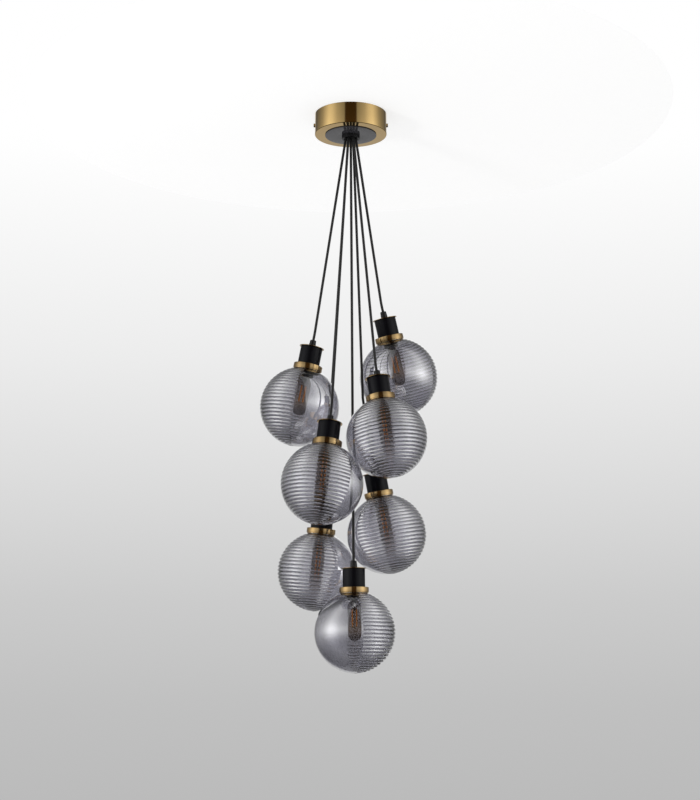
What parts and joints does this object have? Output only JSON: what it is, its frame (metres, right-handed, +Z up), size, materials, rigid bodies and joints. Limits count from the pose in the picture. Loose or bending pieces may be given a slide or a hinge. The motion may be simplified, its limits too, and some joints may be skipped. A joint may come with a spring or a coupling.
{
  "type": "cluster pendant light",
  "caption": "Ceiling light with ribbed smoked glass globes on black cords, each with a brass ring and a black cup, hung in a staggered cluster from a round brass canopy.",
  "frame": {"origin": "on the ceiling, at the middle of the canopy's mounting slots", "axes": "+Z up into the ceiling, +X to the viewer's right, -Y towards the viewer"},
  "size_m": [0.3392, 0.3246, 1.079],
  "materials": {
    "brushed_brass": "satin lacquered",
    "dark_plate": "semi-gloss black",
    "zinc_plate": "zinc plated",
    "white_plastic": "moulded",
    "black_plastic": "moulded",
    "black_enamel": "satin black",
    "cord_sheath": "satin sheath",
    "smoked_glass": "clear smoked",
    "lamp_glass": "clear with amber filaments"
  },
  "bodies": {
    "canopy": {"canopy_shell": "brushed_brass", "trim_plate": "dark_plate", "ceiling_bracket": "zinc_plate", "side_screws": "brushed_brass", "earth_screw": "zinc_plate", "connector_block": "white_plastic", "block_screws": "zinc_plate", "cord_hub": "black_plastic", "hub_lock_nut": "black_plastic", "inner_leads": "cord_sheath", "cord_e_upper": "cord_sheath"},
    "pendant_a_cord": {"cord_a": "cord_sheath"},
    "pendant_a_shade": {"lampholder_a": "black_plastic", "top_disc_a": "brushed_brass", "cup_a": "black_enamel", "shade_ring_a": "brushed_brass", "globe_a": "smoked_glass", "lamp_a": "lamp_glass"},
    "pendant_b_cord": {"cord_b": "cord_sheath"},
    "pendant_b_shade": {"lampholder_b": "black_plastic", "top_disc_b": "brushed_brass", "cup_b": "black_enamel", "shade_ring_b": "brushed_brass", "globe_b": "smoked_glass", "lamp_b": "lamp_glass"},
    "pendant_c_cord": {"cord_c": "cord_sheath"},
    "pendant_c_shade": {"lampholder_c": "black_plastic", "top_disc_c": "brushed_brass", "cup_c": "black_enamel", "shade_ring_c": "brushed_brass", "globe_c": "smoked_glass", "lamp_c": "lamp_glass"},
    "pendant_d_cord": {"cord_d": "cord_sheath"},
    "pendant_d_shade": {"lampholder_d": "black_plastic", "top_disc_d": "brushed_brass", "cup_d": "black_enamel", "shade_ring_d": "brushed_brass", "globe_d": "smoked_glass", "lamp_d": "lamp_glass"},
    "pendant_e_cord": {"cord_e_lower": "cord_sheath"},
    "pendant_e_shade": {"lampholder_e": "black_plastic", "top_disc_e": "brushed_brass", "cup_e": "black_enamel", "shade_ring_e": "brushed_brass", "globe_e": "smoked_glass", "lamp_e": "lamp_glass"},
    "pendant_f_cord": {"cord_f": "cord_sheath"},
    "pendant_f_shade": {"lampholder_f": "black_plastic", "top_disc_f": "brushed_brass", "cup_f": "black_enamel", "shade_ring_f": "brushed_brass", "globe_f": "smoked_glass", "lamp_f": "lamp_glass"},
    "pendant_g_cord": {"cord_g": "cord_sheath"},
    "pendant_g_shade": {"lampholder_g": "black_plastic", "top_disc_g": "brushed_brass", "cup_g": "black_enamel", "shade_ring_g": "brushed_brass", "globe_g": "smoked_glass", "lamp_g": "lamp_glass"}
  },
  "joints": [
    {"name": "swing_a", "type": "hinge", "parent": "canopy", "child": "pendant_a_cord", "pos_m": [0.0095, 0, -0.0471], "axis": [0.5878, -0.809, 0], "range_deg": [0, 12]},
    {"name": "turn_a", "type": "hinge", "parent": "pendant_a_cord", "child": "pendant_a_shade", "pos_m": [0.0623, 0.04255, -0.38618], "axis": [-0.2265, -0.1254, 0.9659], "range_deg": [-180, 180]},
    {"name": "swing_b", "type": "hinge", "parent": "canopy", "child": "pendant_b_cord", "pos_m": [-0.0095, 0, -0.0471], "axis": [0.0523, 0.9986, 0], "range_deg": [0, 12]},
    {"name": "turn_b", "type": "hinge", "parent": "pendant_b_cord", "child": "pendant_b_shade", "pos_m": [-0.07127, 0.00198, -0.45268], "axis": [0.1925, -0.0154, 0.9812], "range_deg": [-180, 180]},
    {"name": "swing_c", "type": "hinge", "parent": "canopy", "child": "pendant_c_cord", "pos_m": [0.00475, -0.00823, -0.0471], "axis": [-0.6561, -0.7547, 0], "range_deg": [0, 12]},
    {"name": "turn_c", "type": "hinge", "parent": "pendant_c_cord", "child": "pendant_c_shade", "pos_m": [0.04797, -0.04923, -0.52296], "axis": [-0.1352, 0.0898, 0.9867], "range_deg": [-180, 180]},
    {"name": "swing_d", "type": "hinge", "parent": "canopy", "child": "pendant_d_cord", "pos_m": [-0.00475, -0.00823, -0.0471], "axis": [-0.866, 0.5, 0], "range_deg": [0, 12]},
    {"name": "turn_d", "type": "hinge", "parent": "pendant_d_cord", "child": "pendant_d_shade", "pos_m": [-0.03712, -0.07469, -0.61292], "axis": [0.1158, 0.1245, 0.9854], "range_deg": [-180, 180]},
    {"name": "swing_e", "type": "hinge", "parent": "canopy", "child": "pendant_e_cord", "pos_m": [0.02291, 0.02631, -0.5602], "axis": [0.3746, -0.9272, 0], "range_deg": [0, 12]},
    {"name": "turn_e", "type": "hinge", "parent": "pendant_e_cord", "child": "pendant_e_shade", "pos_m": [0.04288, 0.03547, -0.6895], "axis": [-0.187, -0.0651, 0.9802], "range_deg": [-180, 180]},
    {"name": "swing_f", "type": "hinge", "parent": "canopy", "child": "pendant_f_cord", "pos_m": [-0.00475, 0.00823, -0.0471], "axis": [0.788, 0.6157, 0], "range_deg": [0, 12]},
    {"name": "turn_f", "type": "hinge", "parent": "pendant_f_cord", "child": "pendant_f_shade", "pos_m": [-0.05121, 0.07432, -0.75446], "axis": [0.0991, -0.0677, 0.9928], "range_deg": [-180, 180]},
    {"name": "swing_g", "type": "hinge", "parent": "canopy", "child": "pendant_g_cord", "pos_m": [0, 0, -0.0471], "axis": [-0.7071, 0.7071, 0], "range_deg": [0, 1.8]},
    {"name": "turn_g", "type": "hinge", "parent": "pendant_g_cord", "child": "pendant_g_shade", "pos_m": [0.00514, -0.00334, -0.87274], "axis": [-0.0157, -0.014, 0.9998], "range_deg": [-180, 180]}
  ]
}
